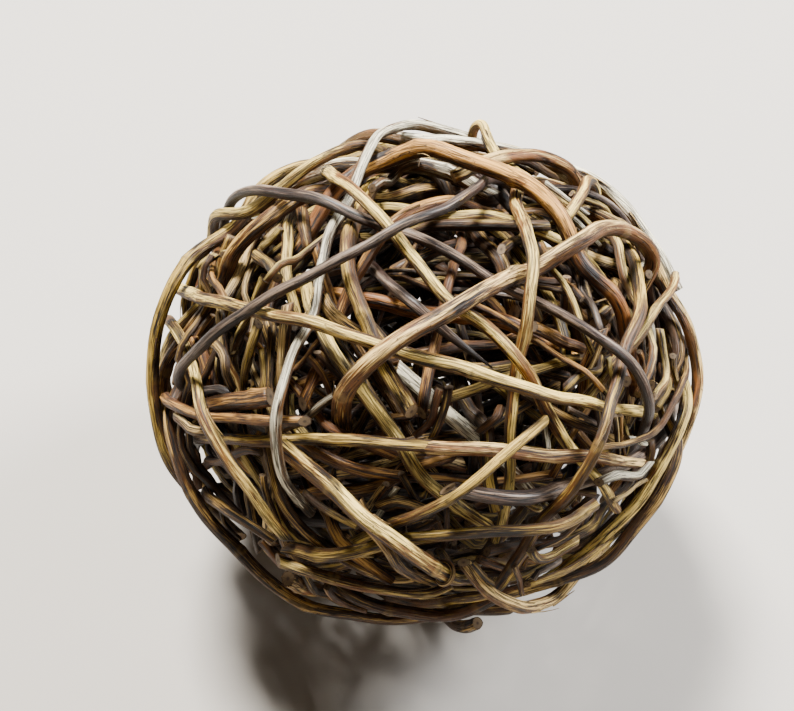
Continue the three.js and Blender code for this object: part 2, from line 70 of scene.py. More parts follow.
MM = 0.001
MIDDLE = np.array([-0.39, 2.70, 62.0]) * MM
HALF = np.array([75.0, 72.0, 65.0]) * MM
EYE_TILT = math.radians(50)
EYE_REACH = 321 * MM
HOLLOW = np.array([[-31.0, -34.0, 30.0], [24.0, 30.0, 85.0]]) * MM

RIGHT = np.array([1.0, 0.0, 0.0])
TO_EYE = np.array([0.0, -math.cos(EYE_TILT), math.sin(EYE_TILT)])
UP = np.cross(TO_EYE, RIGHT)
DIAL = HALF[0] / math.sqrt(EYE_REACH**2 - HALF[0] ** 2) / 100

FINE_STEP = 1.5 * MM  # between two rings of a main rod
TWIG_STEP = 2.4 * MM
LAID_STEP = 6 * MM  # between two points of a line while the twigs settle
ROD_SIDES = 14
TWIG_SIDES = 9


def unit(v):
    return v / max(np.linalg.norm(v), 1e-12)


# ---- Lines ------------------------------------------------------------------------------------


def length_along(line):
    return np.concatenate([[0.0], np.cumsum(np.linalg.norm(np.diff(line, axis=0), axis=1))])


def smooth_line(points, step):
    """A smooth line through the points, as points at even distances."""
    p = np.vstack([2 * points[0] - points[1], points, 2 * points[-1] - points[-2]])
    t = np.linspace(0, 1, 12, endpoint=False)[:, None]
    parts = []
    for a, b, c, d in zip(p, p[1:], p[2:], p[3:]):
        curve = 2 * b + (c - a) * t + (2 * a - 5 * b + 4 * c - d) * t**2
        parts.append(0.5 * (curve + (3 * b - a - 3 * c + d) * t**3))
    line = np.vstack(parts + [points[-1:]])
    return even_line(line, step)


def even_line(line, step):
    along = length_along(line)
    count = max(3, int(round(along[-1] / step)))
    stops = np.linspace(0, along[-1], count + 1)
    return np.column_stack([np.interp(stops, along, line[:, axis]) for axis in range(line.shape[1])])


def frames_along(line):
    """Two directions across the line at each of its points, which do not twist along it."""
    way = np.gradient(line, axis=0)
    way /= np.linalg.norm(way, axis=1)[:, None]
    side = unit(np.cross(way[0], [0.31, 0.52, 0.79]))
    sides = [side]
    for w in way[1:]:
        side = unit(side - np.dot(side, w) * w)
        sides.append(side)
    sides = np.array(sides)
    return sides, np.cross(way, sides), way


def on_dial(u, v, depth, far=False):
    """The point at u, v on the round dial that the eye sees, so deep under the ball's near or far skin.

    u to the right and v up are hundredths of the ball's half-width, and the depth is in metres.
    """
    half = HALF - depth
    sight = (-TO_EYE + u * DIAL * RIGHT + v * DIAL * UP) / half
    start = TO_EYE * EYE_REACH / half
    a, b, c = sight @ sight, start @ sight, start @ start - 1
    root = math.sqrt(max(b * b - a * c, 0))
    return unit(start + sight * (-b + (root if far else -root)) / a) * half + MIDDLE


def rings_of(node):
    """The middles and radii of a rod's rings, from one cut end to the other, read off its solid."""
    bm = bmesh.new()
    bm.from_mesh(frame["nodes"][node].data)
    bmesh.ops.remove_doubles(bm, verts=bm.verts, dist=2e-6)
    bm.edges.ensure_lookup_table()
    rim = [e for e in bm.edges if len(e.link_faces) == 2 and e.calc_face_angle(0) > math.radians(72)]
    start = {rim[0].verts[0]}
    while True:
        grown = start | {w for e in rim for w in e.verts if start & set(e.verts)}
        if grown == start:
            break
        start = grown
    rings, seen, ring = [], set(), start
    while ring:
        rings.append(np.array([v.co for v in ring]))
        seen |= ring
        ring = {e.other_vert(v) for v in ring for e in v.link_edges} - seen
    bm.free()
    if any(len(r) != 6 for r in rings):
        raise RuntimeError(f"{node}: the rings have {[len(r) for r in rings]} corners")
    middles = np.array([r.mean(axis=0) for r in rings])
    radii = np.array([np.linalg.norm(r - m, axis=1).max() for r, m in zip(rings, middles)])
    if radii[0] < radii[-1]:
        middles, radii = middles[::-1], radii[::-1]
    return middles, radii


def cut_faces(bm):
    """The middle, the outward direction and the radius of each square cut face on a bundle of twigs."""
    found = []
    for edge in bm.edges:
        if len(edge.link_faces) != 2 or edge.calc_face_angle(1) > 0.02:
            continue
        rim = {e for f in edge.link_faces for e in f.edges} - {edge}
        if len(rim) == 4 and all(e.calc_face_angle(0) > 1.1 and e.calc_length() < 3.4 * MM for e in rim):
            corners = {v for e in rim for v in e.verts}
            middle = sum((v.co for v in corners), Vector()) / 4
            found.append((middle, edge.link_faces[0].normal.copy(), (edge.verts[0].co - middle).length))
    return found


def threads_of(node):
    """The lines and radii of the twigs joined in one bundle, each followed through the inside of its tube."""
    bm = bmesh.new()
    bm.from_mesh(frame["nodes"][node].data)
    bmesh.ops.remove_doubles(bm, verts=bm.verts, dist=2e-6)
    walls = BVHTree.FromBMesh(bm)
    ends = cut_faces(bm)
    bm.free()
    threads, reached = [], []
    for start, outward, radius in ends:
        if any((start - p).length < 1 * MM for p in reached):
            continue
        way, at, line = -outward, start - outward * 0.2 * MM, [start]
        for _ in range(600):
            ahead = walls.ray_cast(at, way)[3]
            if ahead is None or ahead < 1.1 * MM:
                break
            at = in_the_middle(walls, at + way * MM, way, radius)
            line.append(at)
            way = (way * 0.6 + (at - line[max(0, len(line) - 5)]).normalized() * 0.4).normalized()
        last = min(ends, key=lambda e: (e[0] - at).length)
        if (last[0] - at).length > 3 * MM:
            raise RuntimeError(f"{node}: a twig's far end was not found")
        reached.append(last[0])
        line[-1] = last[0]
        thread = np.array([list(p) for p in line])
        threads.append((even_line(thread, 8 * MM), np.linspace(radius, last[2], 8)))
    return threads


def in_the_middle(walls, at, way, radius):
    """Moves a point to the middle of the tube that it is in, by the walls on either side of it."""
    side = way.orthogonal().normalized()
    over = way.cross(side)
    shift = Vector()
    pairs = 0
    for k in range(8):
        ray = side * math.cos(math.pi * k / 8) + over * math.sin(math.pi * k / 8)
        one, other = walls.ray_cast(at, ray)[3], walls.ray_cast(at, -ray)[3]
        if one and other and one + other < 2.3 * radius:
            shift += ray * (one - other)
            pairs += 1
    return at + shift / max(pairs, 1) if pairs > 2 else at


# ---- Growing a rod ----------------------------------------------------------------------------

LAYERS = ("around", "along", "tone", "knot", "sun", "stretch", "heart")
UNEVEN = [(0.06, 2, 14), (0.045, 3, -11), (0.03, 0, 9), (0.03, 5, 8)]  # share, lobes round, mm along
KNOT_GAP = (17 * MM, 42 * MM)
KNOT_LENGTH = 1.3 * MM
CUT_RINGS = [(0.9, 0.02), (0.84, 0.1), (0.4, 0.6), (0.12, 1.0)]  # share of the radius, nearness to the heart


def bumps(dice, along, low, high):
    """Where the rod's knots sit, as distances along it."""
    places, at = [], dice.uniform(0.3, 1.0) * low
    while at < along[-1] - 3 * MM:
        places.append(at)
        at += dice.uniform(low, high)
    return places


def painted_depth_shade(line):
    """How much darker each point of a line is painted for lying deep in the ball: painted shade where the
    rods around it keep out the light.
    """
    depth = (1 - np.linalg.norm((line - MIDDLE) / HALF, axis=1)) * HALF[2]
    return 1 - 0.72 * np.clip((depth - 6 * MM) / (20 * MM), 0, 1)


def rod_shape(line, radius, sides, dice, rough):
    """The rod's surface as rings of points, and what the bark needs to know about each of them."""
    along = length_along(line)
    across, over, way = frames_along(line)
    turn = np.linspace(0, 2 * math.pi, sides, endpoint=False) + dice.uniform(0, 6.28)
    phase = [dice.uniform(0, 6.28) for _ in range(6)]
    thick = np.repeat(radius[:, None], sides, axis=1)
    for (share, lobes, run), shift in zip(UNEVEN, phase):
        thick *= 1 + rough * share * np.sin(lobes * turn[None] + shift + along[:, None] / (run * MM))
    knot = np.zeros_like(thick)
    stretch = np.full(len(line), dice.uniform(0, 1))
    for number, place in enumerate(bumps(dice, along, *KNOT_GAP)):
        stretch[along > place] = dice.uniform(0, 1)
        near = np.exp(-(((along - place) / KNOT_LENGTH) ** 2))[:, None]
        facing = np.clip(np.cos(turn - phase[4] - number * 2.6), 0, 1)[None] ** 3
        thick += near * (0.05 + 0.24 * facing) * radius[:, None] * dice.uniform(0.6, 1.2)
        knot = np.maximum(knot, near * (0.45 + 0.55 * facing))
    ring = np.cos(turn)[None, :, None] * across[:, None] + np.sin(turn)[None, :, None] * over[:, None]
    outward = line - MIDDLE
    outward /= np.linalg.norm(outward, axis=1)[:, None]
    # How far each point faces up and out of the ball; the bark uses it to paint light on the tops and shade
    # on the undersides
    sun = 0.5 + 0.3 * ring[:, :, 2] + 0.2 * (ring * outward[:, None]).sum(axis=2)
    return line[:, None] + ring * thick[:, :, None], knot, sun, stretch, along, way


def slant_ends(points, way, radius, slants, dice):
    """Leans the two cut faces over, with the last few rings behind each of them."""
    count, sides = points.shape[:2]
    for end, slant in zip((0, count - 1), slants):
        if not slant:
            continue
        toward = dice.uniform(0, 6.28)
        lean = np.cos(np.linspace(0, 2 * math.pi, sides, endpoint=False) - toward)
        for near in range(4):
            k = near if end == 0 else count - 1 - near
            shift = slant * radius[end] * lean * (1 - near / 4)
            points[k] += shift[:, None] * way[k][None]


def grow_rod(line, radius, sides, tone, dice, rough=1.0, slants=(0.0, 0.0)):
    """A bmesh of one rod: a ring drawn out along the line, closed by a cut face at either end.

    The tone is one value for the whole rod, or one for each point of its line.
    """
    points, knot, sun, stretch, along, way = rod_shape(line, radius, sides, dice, rough)
    slant_ends(points, way, radius, slants, dice)
    count = len(line)
    tones = tone * np.ones(count)
    start = dice.uniform(0, 9)
    bm = bmesh.new()
    layers = {name: bm.verts.layers.float.new(name) for name in LAYERS}
    spoke = bm.verts.layers.int.new("spoke")
    ring = bmesh.ops.create_circle(bm, cap_ends=False, segments=sides, radius=1)["verts"]
    for j, v in enumerate(ring):
        v[spoke] = j
        v[layers["around"]] = j / sides

    def place(verts, k, at, heart):
        for v in verts:
            j = v[spoke]
            v.co = at[j]
            v[layers["along"]] = start + along[k]
            v[layers["tone"]] = tones[k]
            v[layers["knot"]] = knot[k, j]
            v[layers["sun"]] = sun[k, j]
            v[layers["stretch"]] = stretch[k]
            v[layers["heart"]] = heart

    def drawn_out(edges):
        made = bmesh.ops.extrude_edge_only(bm, edges=edges)["geom"]
        verts = [g for g in made if isinstance(g, bmesh.types.BMVert)]
        return verts, [g for g in made if isinstance(g, bmesh.types.BMEdge)]

    place(ring, 0, points[0], 0)
    first = list(bm.edges)
    edges = first
    for k in range(1, count):
        verts, edges = drawn_out(edges)
        place(verts, k, points[k], 0)
    last = edges
    for edges, k, sign in ((first, 0, -1), (last, count - 1, 1)):
        middle = points[k].mean(axis=0)
        for share, heart in CUT_RINGS:
            verts, edges = drawn_out(edges)
            out = sign * way[k] * radius[k] * (0.05 if heart > 0.5 else 0.0)
            place(verts, k, middle + (points[k] - middle) * share + out, heart)
            for f in {f for e in edges for f in e.link_faces}:
                f.material_index = 1 if heart > 0.05 else 0
        for f in bmesh.ops.contextual_create(bm, geom=edges)["faces"]:
            f.material_index = 1
    bmesh.ops.recalc_face_normals(bm, faces=bm.faces)
    for f in bm.faces:
        f.smooth = True
    return bm


def finished(name, meshes, materials):
    """One piece out of one rod or several. Points past the solids' box are moved onto its sides."""
    bm = bmesh.new()
    for grown in meshes:
        mesh = bpy.data.meshes.new("part")
        grown.to_mesh(mesh)
        grown.free()
        bm.from_mesh(mesh)
        bpy.data.meshes.remove(mesh)
    mesh = bpy.data.meshes.new(name)
    bm.to_mesh(mesh)
    bm.free()
    places = np.zeros(len(mesh.vertices) * 3, np.float32)
    mesh.vertices.foreach_get("co", places)
    low, high = (np.array(c, np.float32) for c in CAD_BOX)
    mesh.vertices.foreach_set("co", np.clip(places.reshape(-1, 3), low, high).ravel())
    wrap_bark(mesh)
    for material in materials:
        mesh.materials.append(material)
    piece = bpy.data.objects.new(name, mesh)
    bpy.context.scene.collection.objects.link(piece)
    return piece


def wrap_bark(mesh):
    """Lays the bark's own map round each rod: once round is 1, and along it is metres."""
    value = {}
    for name in ("around", "along"):
        value[name] = np.zeros(len(mesh.vertices), np.float32)
        mesh.attributes[name].data.foreach_get("value", value[name])
    corner = np.zeros(len(mesh.loops), np.int32)
    mesh.loops.foreach_get("vertex_index", corner)
    first = np.zeros(len(mesh.polygons), np.int32)
    mesh.polygons.foreach_get("loop_start", first)
    total = np.zeros(len(mesh.polygons), np.int32)
    mesh.polygons.foreach_get("loop_total", total)
    around = value["around"][corner]
    widest = np.repeat(np.maximum.reduceat(around, first), total)
    around = np.where(widest - around > 0.5, around + 1, around)
    places = np.column_stack([around, value["along"][corner]]).astype(np.float32)
    mesh.uv_layers.new(name="bark_map").data.foreach_set("uv", places.ravel())


# ---- Bark, as shared shader groups ------------------------------------------------------------


def group(name, inputs, outputs):
    tree = bpy.data.node_groups.new(name, "ShaderNodeTree")
    for label, kind, value in inputs:
        socket = tree.interface.new_socket(name=label, in_out="INPUT", socket_type=kind)
        if value is not None:
            socket.default_value = value
    for label, kind in outputs:
        tree.interface.new_socket(name=label, in_out="OUTPUT", socket_type=kind)
    return tree, tree.nodes.new("NodeGroupInput"), tree.nodes.new("NodeGroupOutput")


def wire(tree, kind, **given):
    """A node with its settings and inputs given by name. An input may be a value or another node's output."""
    node = tree.nodes.new(kind)
    inputs = given.pop("inputs", {})
    for key, value in given.items():
        setattr(node, key, value)
    for key, value in inputs.items():
        socket = node.inputs[key]
        if isinstance(value, bpy.types.NodeSocket):
            tree.links.new(value, socket)
        else:
            socket.default_value = value
    return node


def calc(tree, operation, a, b=0.0):
    return wire(tree, "ShaderNodeMath", operation=operation, inputs={0: a, 1: b}).outputs[0]


def blend(tree, share, a, b):
    return wire(tree, "ShaderNodeMix", data_type="RGBA", inputs={0: share, 6: a, 7: b}).outputs[2]


def scaled(tree, color, share):
    inputs = {0: color, "Scale": share}
    return wire(tree, "ShaderNodeVectorMath", operation="SCALE", inputs=inputs).outputs[0]


def remap(tree, value, low, high, to_low=0.0, to_high=1.0):
    node = wire(tree, "ShaderNodeMapRange", inputs={0: value, 1: low, 2: high, 3: to_low, 4: to_high})
    return node.outputs[0]


def noise(tree, vector, detail, rough=0.55):
    inputs = {"Vector": vector, "Scale": 1.0, "Detail": detail, "Roughness": rough}
    return wire(tree, "ShaderNodeTexNoise", inputs=inputs).outputs[0]


def wrapped(tree, around, along, tight, stretch):
    """A place on a rod as a point on a cylinder, so that no pattern breaks where the map meets itself."""
    angle = calc(tree, "MULTIPLY", around, 2 * math.pi)
    x = calc(tree, "MULTIPLY", calc(tree, "COSINE", angle), tight)
    y = calc(tree, "MULTIPLY", calc(tree, "SINE", angle), tight)
    z = calc(tree, "MULTIPLY", along, stretch)
    return wire(tree, "ShaderNodeCombineXYZ", inputs={0: x, 1: y, 2: z}).outputs[0]


def make_bark_group():
    tree, given, out = group(
        "rod_bark",
        [
            ("Map", "NodeSocketVector", None),
            ("Tone", "NodeSocketFloat", 0.5),
            ("Knot", "NodeSocketFloat", 0.0),
            ("Sun", "NodeSocketFloat", 0.5),
            ("Stretch", "NodeSocketFloat", 0.5),
            ("Pale", "NodeSocketColor", (0.6, 0.5, 0.3, 1)),
            ("Mid", "NodeSocketColor", (0.3, 0.22, 0.1, 1)),
            ("Warm", "NodeSocketColor", (0.3, 0.15, 0.05, 1)),
            ("Dark", "NodeSocketColor", (0.06, 0.035, 0.02, 1)),
            ("Wear", "NodeSocketFloat", 0.5),
            ("Cracks", "NodeSocketFloat", 0.8),
        ],
        [("Color", "NodeSocketColor"), ("Roughness", "NodeSocketFloat"), ("Height", "NodeSocketFloat")],
    )
    parts = wire(tree, "ShaderNodeSeparateXYZ", inputs={0: given.outputs["Map"]})
    around, along = parts.outputs[0], parts.outputs[1]
    add, take, times = (partial(calc, tree, operation) for operation in ("ADD", "SUBTRACT", "MULTIPLY"))
    knot, sun, share = (given.outputs[name] for name in ("Knot", "Sun", "Stretch"))
    pale, dark = given.outputs["Pale"], given.outputs["Dark"]

    def pattern(tight, stretch, detail, rough=0.55, shift=None):
        """Noise wound round the rod, finer across it when tight and shorter along it with more stretch."""
        place = add(along, shift) if shift else along
        return noise(tree, wrapped(tree, around, place, tight, stretch), detail, rough)

    # What the bark is made of: ridges, fibres, broad patches, stains, specks and the run of its cracks
    strip = pattern(1.1, 45, 3)
    fibre = pattern(5.5, 160, 3, 0.65)
    patch = pattern(0.45, 34, 3, 0.6)
    stain = pattern(0.6, 60, 4, 0.65, shift=3.7)
    speck = pattern(3.2, 900, 1)
    seam = pattern(2.2, 62, 2, 0.5, shift=1.3)
    crack = remap(tree, calc(tree, "ABSOLUTE", take(seam, 0.5)), 0.055, 0.022)
    crack = times(crack, remap(tree, patch, 0.40, 0.50, 0.35, 1.0))
    crack = times(crack, given.outputs["Cracks"])
    lift = add(times(strip, 0.55), times(fibre, 0.45))

    # Brown between the ridges, pale where they are worn, and paler on the sides that face up and out: painted
    # light
    stain = add(stain, times(take(share, 0.5), 0.16))
    under = blend(tree, remap(tree, stain, 0.44, 0.58), given.outputs["Mid"], given.outputs["Warm"])
    color = blend(tree, remap(tree, lift, 0.41, 0.49), dark, under)
    wear_and_painted_light = lift
    # The facing term paints light on the tops of the rods; the rest is real wear
    for value, size in ((patch, 0.65), (given.outputs["Wear"], 0.35), (sun, 0.3), (share, -0.09)):
        wear_and_painted_light = add(wear_and_painted_light, times(take(value, 0.5), size))
    color = blend(tree, remap(tree, wear_and_painted_light, 0.56, 0.655), color, pale)

    # Dark cracks, specks and rings at the knots, each ring with a paler collar
    color = blend(tree, times(crack, 0.9), color, dark)
    color = blend(tree, remap(tree, speck, 0.68, 0.73, 0.0, 0.7), color, dark)
    color = blend(tree, remap(tree, knot, 0.2, 0.5, 0.0, 0.16), color, pale)
    color = blend(tree, times(calc(tree, "POWER", knot, 4.0), 0.9), color, dark)

    # Darker rods by their tone, which also carries the painted shade deep in the ball, and painted shade on
    # the undersides
    shade = remap(tree, given.outputs["Tone"], 0.0, 1.0, 0.13, 1.5)
    # painted shade on the sides that face down and into the ball, painted light on those that face up and out
    shade = times(shade, remap(tree, sun, 0.2, 0.65, 0.65, 1.15))
    tree.links.new(scaled(tree, color, shade), out.inputs["Color"])
    rough = add(remap(tree, fibre, 0.3, 0.7, 0.42, 0.68), times(crack, 0.25))
    tree.links.new(rough, out.inputs["Roughness"])
    tree.links.new(take(lift, times(crack, 0.30)), out.inputs["Height"])
    return tree


def make_cut_group():
    tree, given, out = group(
        "cut_wood",
        [
            ("Heart", "NodeSocketFloat", 0.0),
            ("Map", "NodeSocketVector", None),
            ("Tone", "NodeSocketFloat", 0.5),
        ],
        [("Color", "NodeSocketColor"), ("Height", "NodeSocketFloat")],
    )
    ramp = wire(tree, "ShaderNodeValToRGB", inputs={0: given.outputs["Heart"]})
    stops = ramp.color_ramp.elements
    stops[0].position, stops[0].color = 0.02, (0.03, 0.015, 0.008, 1)
    stops[1].position, stops[1].color = 0.97, (0.05, 0.025, 0.012, 1)
    for place, color in ((0.12, (0.26, 0.17, 0.08, 1)), (0.7, (0.22, 0.14, 0.06, 1))):
        stops.new(place).color = color
    parts = wire(tree, "ShaderNodeSeparateXYZ", inputs={0: given.outputs["Map"]})
    grain = noise(tree, wrapped(tree, parts.outputs[0], parts.outputs[1], 4.0, 50), 3)
    dull = blend(tree, remap(tree, grain, 0.3, 0.7, 0.0, 0.6), ramp.outputs[0], (0.10, 0.055, 0.025, 1))
    # The tone also carries the painted shade deep in the ball onto the cut faces
    shade = remap(tree, given.outputs["Tone"], 0.0, 1.0, 0.1, 1.4)
    tree.links.new(scaled(tree, dull, shade), out.inputs["Color"])
    tree.links.new(grain, out.inputs["Height"])
    return tree


BARK_GROUP = make_bark_group()
CUT_GROUP = make_cut_group()

BARKS = {
    # pale, middle, warm and dark colours, then wear, cracks and coat
    "straw": (
        (0.82, 0.585, 0.155), (0.14, 0.066, 0.009), (0.19, 0.070, 0.008), (0.010, 0.0042, 0.0010),
        0.55, 0.8, 0.06,
    ),
    "olive": (
        (0.58, 0.375, 0.07), (0.074, 0.034, 0.004), (0.11, 0.040, 0.004), (0.006, 0.0026, 0.0008),
        0.46, 0.8, 0.07,
    ),
    "tan": (
        (0.80, 0.54, 0.19), (0.12, 0.050, 0.009), (0.20, 0.070, 0.010), (0.008, 0.0032, 0.0008),
        0.50, 1.0, 0.05,
    ),
    "brown": (
        (0.52, 0.31, 0.075), (0.060, 0.025, 0.004), (0.10, 0.035, 0.004), (0.005, 0.0020, 0.0006),
        0.42, 0.9, 0.07,
    ),
    "russet": (
        (0.62, 0.31, 0.065), (0.11, 0.036, 0.004), (0.20, 0.066, 0.006), (0.007, 0.0026, 0.0006),
        0.39, 0.7, 0.13,
    ),
    "plum": (
        (0.22, 0.15, 0.10), (0.026, 0.012, 0.007), (0.045, 0.015, 0.006), (0.004, 0.0015, 0.0010),
        0.36, 0.6, 0.22,
    ),
    "grey": (
        (0.80, 0.73, 0.53), (0.12, 0.066, 0.018), (0.14, 0.058, 0.010), (0.010, 0.0045, 0.0018),
        0.54, 0.8, 0.06,
    ),
}


def attribute(tree, name):
    return wire(tree, "ShaderNodeAttribute", attribute_name=name, attribute_type="GEOMETRY").outputs["Fac"]


def bare_material(name):
    material = bpy.data.materials.new(name)
    material.use_nodes = True
    return material, material.node_tree, material.node_tree.nodes["Principled BSDF"]


def raise_grain(tree, shader, height, strength, distance):
    inputs = {"Height": height, "Strength": strength, "Distance": distance}
    bump = wire(tree, "ShaderNodeBump", inputs=inputs)
    tree.links.new(bump.outputs[0], shader.inputs["Normal"])


def make_bark(name, pale, mid, warm, dark, wear, cracks, coat):
    material, tree, shader = bare_material(f"{name}_bark")
    look = wire(
        tree,
        "ShaderNodeGroup",
        node_tree=BARK_GROUP,
        inputs={
            "Map": wire(tree, "ShaderNodeUVMap", uv_map="bark_map").outputs[0],
            "Tone": attribute(tree, "tone"),
            "Knot": attribute(tree, "knot"),
            "Sun": attribute(tree, "sun"),
            "Stretch": attribute(tree, "stretch"),
            "Pale": (*pale, 1),
            "Mid": (*mid, 1),
            "Warm": (*warm, 1),
            "Dark": (*dark, 1),
            "Wear": wear,
            "Cracks": cracks,
        },
    )
    tree.links.new(look.outputs["Color"], shader.inputs["Base Color"])
    tree.links.new(look.outputs["Roughness"], shader.inputs["Roughness"])
    raise_grain(tree, shader, look.outputs["Height"], 1.0, 1.0 * MM)
    shader.inputs["Coat Weight"].default_value = coat
    shader.inputs["Coat Roughness"].default_value = 0.3
    shader.inputs["Specular IOR Level"].default_value = 0.35
    return material


def make_cut_wood():
    material, tree, shader = bare_material("cut_wood")
    look = wire(
        tree,
        "ShaderNodeGroup",
        node_tree=CUT_GROUP,
        inputs={
            "Heart": attribute(tree, "heart"),
            "Map": wire(tree, "ShaderNodeUVMap", uv_map="bark_map").outputs[0],
            "Tone": attribute(tree, "tone"),
        },
    )
    tree.links.new(look.outputs["Color"], shader.inputs["Base Color"])
    raise_grain(tree, shader, look.outputs["Height"], 0.5, 0.4 * MM)
    shader.inputs["Roughness"].default_value = 0.75
    return material


BARK = {name: make_bark(name, *look) for name, look in BARKS.items()}
CUT_WOOD = make_cut_wood()

# ---- The main rods, over their solids ---------------------------------------------------------

SLOT_OF = {part["node"]: part["material_slot"] for part in frame["record"]["subparts"]}
main_rods = {}


def wander(line, dice, most):
    """Small unevenness in a rod's run, fading out at its two ends."""
    along = length_along(line)
    across, over, _ = frames_along(line)
    fade = np.clip(np.minimum(along, along[-1] - along) / (8 * MM), 0, 1)
    shift = np.zeros_like(line)
    for direction in (across, over):
        for wave in (31 * MM, 17 * MM):
            size = most * dice.uniform(0.3, 1.0) * wave / (31 * MM)
            swing = np.sin(along * 2 * math.pi / wave + dice.uniform(0, 6.28))
            shift += direction * (size * fade * swing)[:, None]
    return line + shift


TONES = {"back_rod_05": 0.24, "inner_amber_rod": 0.85, "inner_grey_rod": 0.5, "inner_plum_rod": 0.5}
POINTED = {"inner_plum_rod": (25, 2)}  # rods whose end nearest this place on the dial runs to a point
BROKEN = {"left_brace_rod": (-48, -65)}  # rods whose end nearest this place is broken off dark


def from_end(line, u, v):
    """How far each point is from the line's end that lies nearer a place on the dial."""
    tip, along = on_dial(u, v, 5 * MM), length_along(line)
    return along[-1] - along if np.linalg.norm(line[-1] - tip) < np.linalg.norm(line[0] - tip) else along


def dress(name):
    """Grows the bark over one solid: a rod, or every twig of a bundle."""
    bundle, inner = name.endswith("_twigs"), name.startswith("inner")
    threads = threads_of(name) if bundle else [rings_of(name)]
    main_rods[name] = threads
    dice = random.Random(name)
    grown = []
    for middles, radii in threads:
        thin = radii[0] < 1.7 * MM
        line = smooth_line(middles, TWIG_STEP if thin else FINE_STEP)
        radius = np.interp(np.linspace(0, 1, len(line)), np.linspace(0, 1, len(radii)), radii)
        if name in POINTED:
            radius = radius * np.clip(0.16 + 0.84 * from_end(line, *POINTED[name]) / (15 * MM), 0, 1)
        # The inner rods and the bundles get a darker range of tone: painted shade for lying further in among
        # the rods
        tone = dice.uniform(0.36, 0.50) if inner or bundle else dice.uniform(0.46, 0.64)
        tone = TONES.get(name, tone)
        if name in BROKEN:
            tone = tone * np.clip(from_end(line, *BROKEN[name]) / (4 * MM), 0.08, 1)
        # All but the inner rods are painted darker the deeper they lie in the ball: painted shade
        if not inner:
            tone = tone * painted_depth_shade(line)
        slants = (dice.choice((0, 0.5, 1.0)), dice.choice((0, 0.5, 1.0)))
        sides = TWIG_SIDES if thin else ROD_SIDES
        grown.append(grow_rod(wander(line, dice, 0.25 * MM), radius, sides, tone, dice, 1.0, slants))
    piece = finished(f"{name}_bark", grown, [BARK[SLOT_OF[name].replace("_bark", "")], CUT_WOOD])
    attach(piece, "root")
    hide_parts(name)


for name in sorted(frame["nodes"]):
    dress(name)

# ---- The twigs between and behind them --------------------------------------------------------

dice = random.Random(11)


def arc(facing, heading, lean, sweep, depth, sink):
    """A line round the ball, its middle towards facing, running along heading, sweep degrees long."""
    out = unit(facing)
    axis = unit(np.cross(out, heading))
    low = unit(out + lean * axis)
    count = max(4, int(sweep / 5))
    line = []
    for k in range(count + 1):
        share = k / count - 0.5
        turn = math.radians(sweep * share)
        spoke = low * math.cos(turn) + np.cross(axis, low) * math.sin(turn)
        spoke = spoke + axis * (axis @ low) * (1 - math.cos(turn))
        line.append(spoke * (HALF - depth - sink * share) + MIDDLE)
    return np.array(line)


def any_direction():
    z, turn = dice.uniform(-1, 1), dice.uniform(0, 2 * math.pi)
    flat = math.sqrt(1 - z * z)
    return np.array([flat * math.cos(turn), flat * math.sin(turn), z])


